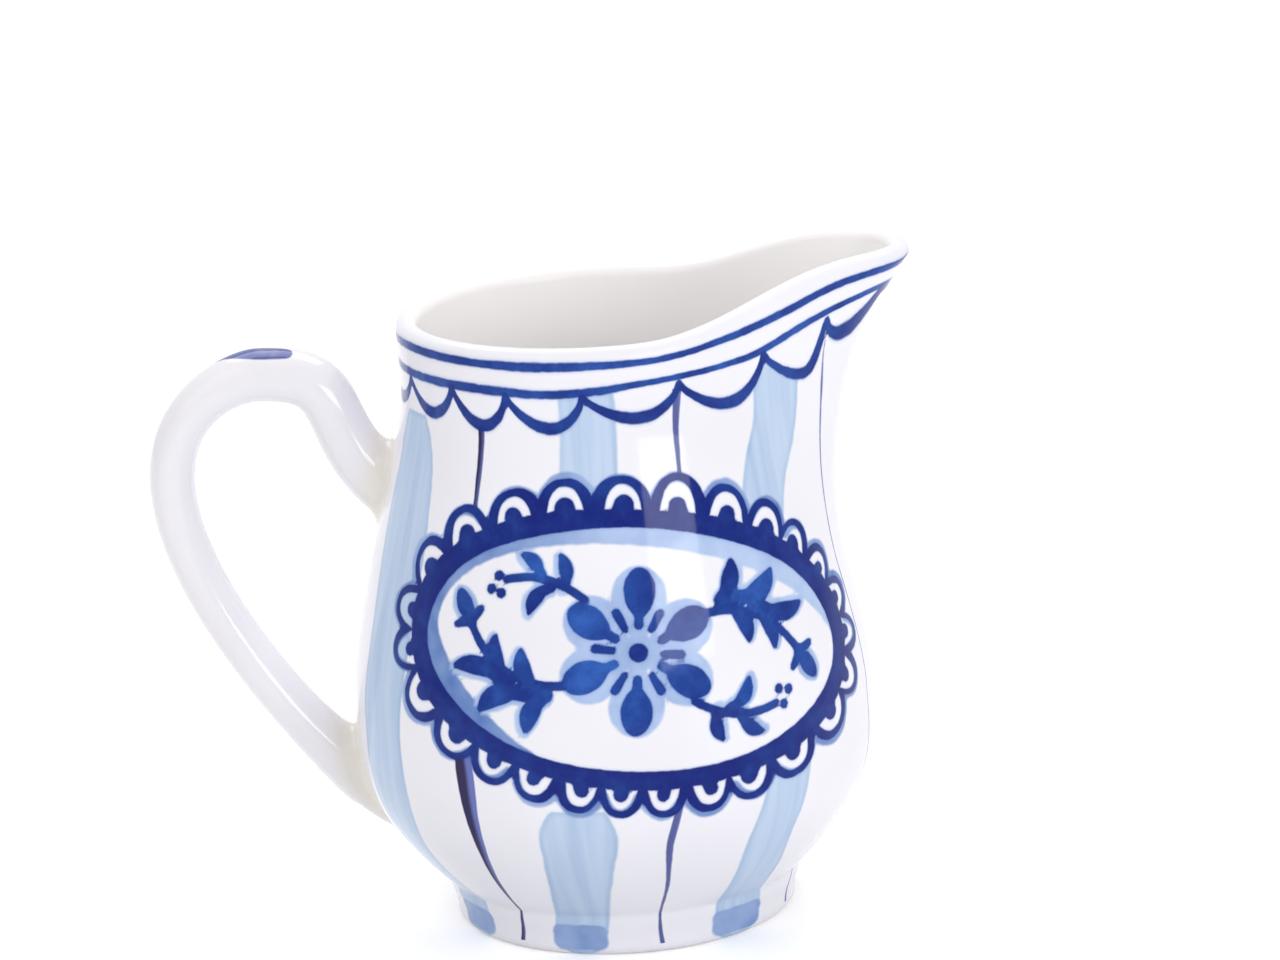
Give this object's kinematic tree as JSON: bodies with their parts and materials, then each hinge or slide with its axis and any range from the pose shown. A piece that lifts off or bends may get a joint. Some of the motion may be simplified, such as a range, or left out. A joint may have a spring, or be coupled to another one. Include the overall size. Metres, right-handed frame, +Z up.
{
  "type": "milk jug",
  "caption": "Round-bellied glazed ceramic milk jug on a low foot, with a pulled pouring spout and an ear-shaped loop handle joined to neck and belly with slip.",
  "frame": {"origin": "centre of the foot's standing ring, on the table plane and on the pot's axis", "axes": "+Z up along the pot's axis, +X towards the spout's tip, the handle on the -X side"},
  "size_m": [0.1199, 0.082, 0.105],
  "materials": {
    "glaze": "gloss",
    "slip": "gloss"
  },
  "bodies": {
    "root": {"vessel": "glaze", "handle": "glaze", "upper_slip_joint": "slip", "lower_slip_joint": "slip"}
  },
  "joints": []
}
